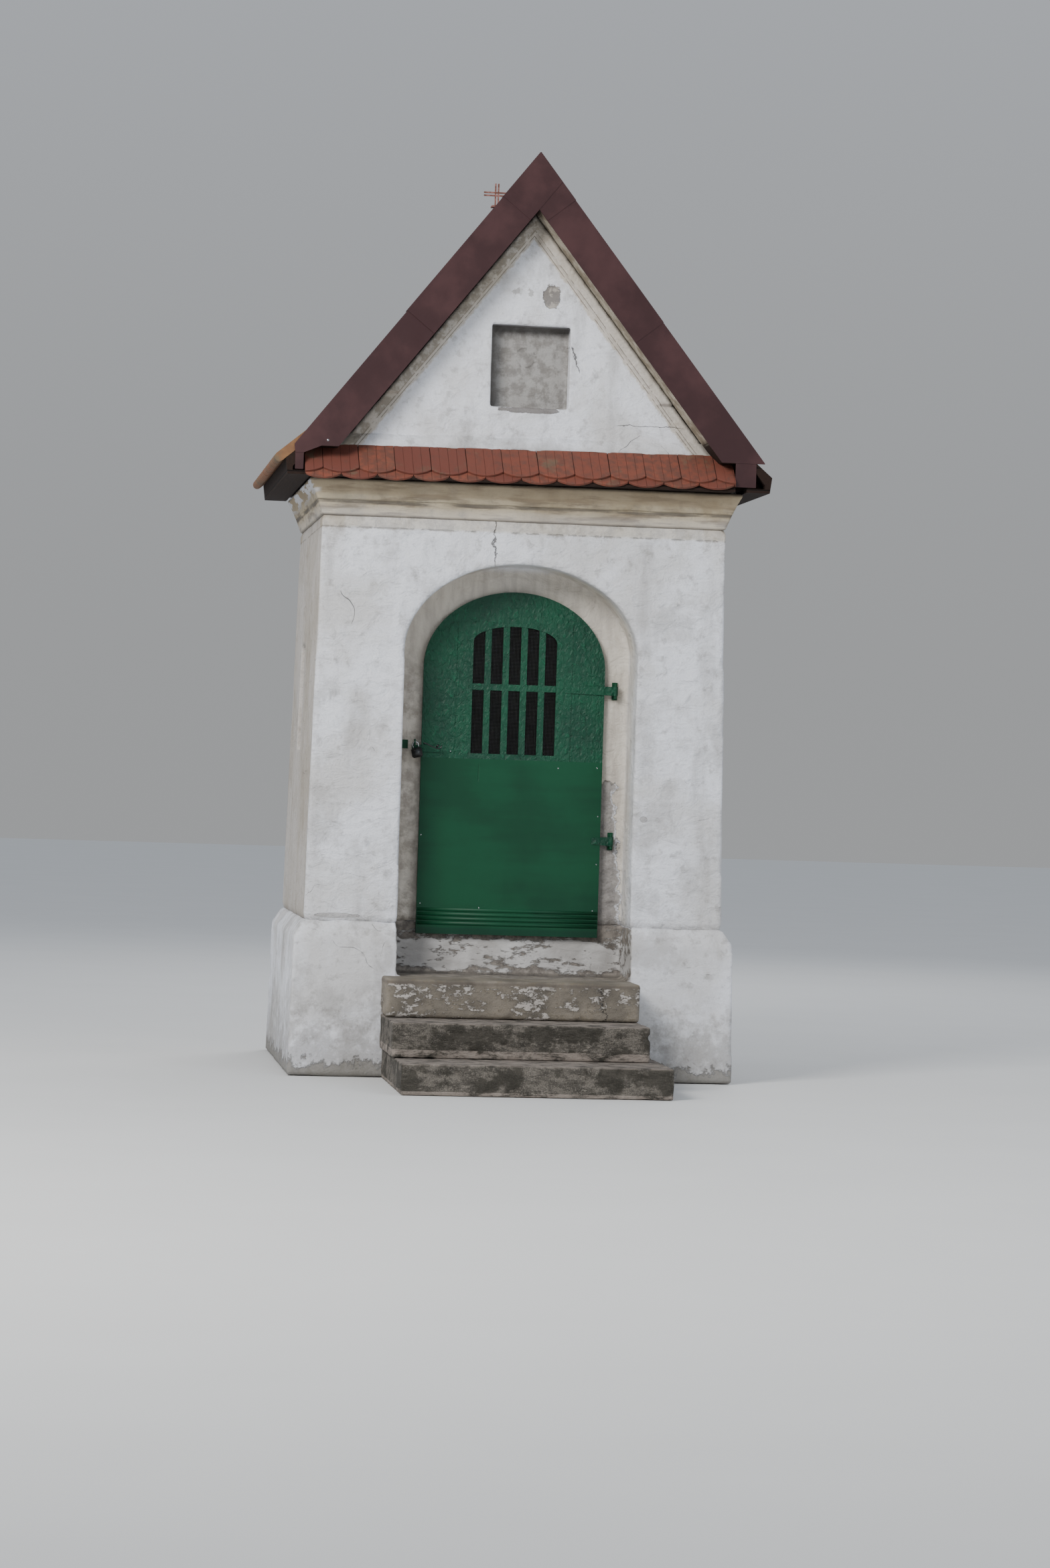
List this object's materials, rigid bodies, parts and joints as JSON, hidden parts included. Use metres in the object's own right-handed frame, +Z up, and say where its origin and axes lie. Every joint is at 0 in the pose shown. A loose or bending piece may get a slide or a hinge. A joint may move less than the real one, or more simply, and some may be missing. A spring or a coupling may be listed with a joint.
{
  "type": "wayside shrine",
  "caption": "Small plastered masonry shrine with a steep tiled gable roof, an arched recess with a barred sheet-metal door, and steps up to it.",
  "frame": {"origin": "on the ground, in the middle of the masonry body's footprint", "axes": "+Z up, the door and steps face -Y, +X to the right of a person who looks at the door"},
  "size_m": [2.5696, 2.8334, 4.766],
  "materials": {
    "plaster_white": "matte",
    "plaster_cream": "matte",
    "plinth_render": "rough",
    "rubble": "rough",
    "floor_stone": "rough",
    "step_render": "rough",
    "granite": "rough",
    "roof_tile": "matte",
    "dark_timber": "weathered",
    "brown_sheet": "satin",
    "door_green": "semi-gloss",
    "wire_mesh": "matte",
    "ironwork": "satin",
    "lock_steel": "satin",
    "cross_metal": "matte"
  },
  "bodies": {
    "root": {"back_gable": "plaster_white", "back_wall": "plaster_white", "base_fill": "rubble", "cornice_back": "plaster_cream", "cornice_front": "plaster_cream", "cornice_left": "plaster_cream", "cornice_right": "plaster_cream", "door_riser": "plinth_render", "doorway_arch": "plaster_white", "eave_boards": "dark_timber", "eave_tiles": "roof_tile", "floor_slab": "floor_stone", "front_gable": "plaster_white", "front_piers": "plaster_white", "hinge_pintles": "ironwork", "left_wall": "plaster_white", "plinth_back": "plinth_render", "plinth_front": "plinth_render", "plinth_sides": "plinth_render", "recess_arch": "plaster_white", "recess_sill": "plinth_render", "ridge_cap": "brown_sheet", "ridge_cross": "cross_metal", "right_wall": "plaster_white", "roof_deck_left": "dark_timber", "roof_deck_right": "dark_timber", "skirt_bed": "dark_timber", "skirt_tiles": "roof_tile", "step_bottom": "granite", "step_middle": "granite", "step_top": "step_render", "tiles_left": "roof_tile", "tiles_right": "roof_tile", "verge_back": "brown_sheet", "verge_front_left": "brown_sheet", "verge_front_right": "brown_sheet", "wall_staple": "ironwork"},
    "door": {"door_leaf": "door_green", "grille_panel": "door_green", "lower_sheet": "door_green", "door_grille": "door_green", "door_mesh": "wire_mesh", "hinge_straps": "door_green", "hasp": "door_green", "padlock": "lock_steel"}
  },
  "joints": [
    {"name": "door_hinge", "type": "hinge", "parent": "root", "child": "door", "pos_m": [0.522, -0.533, 1.5885], "axis": [0, 0, 1], "range_deg": [0, 75]}
  ]
}
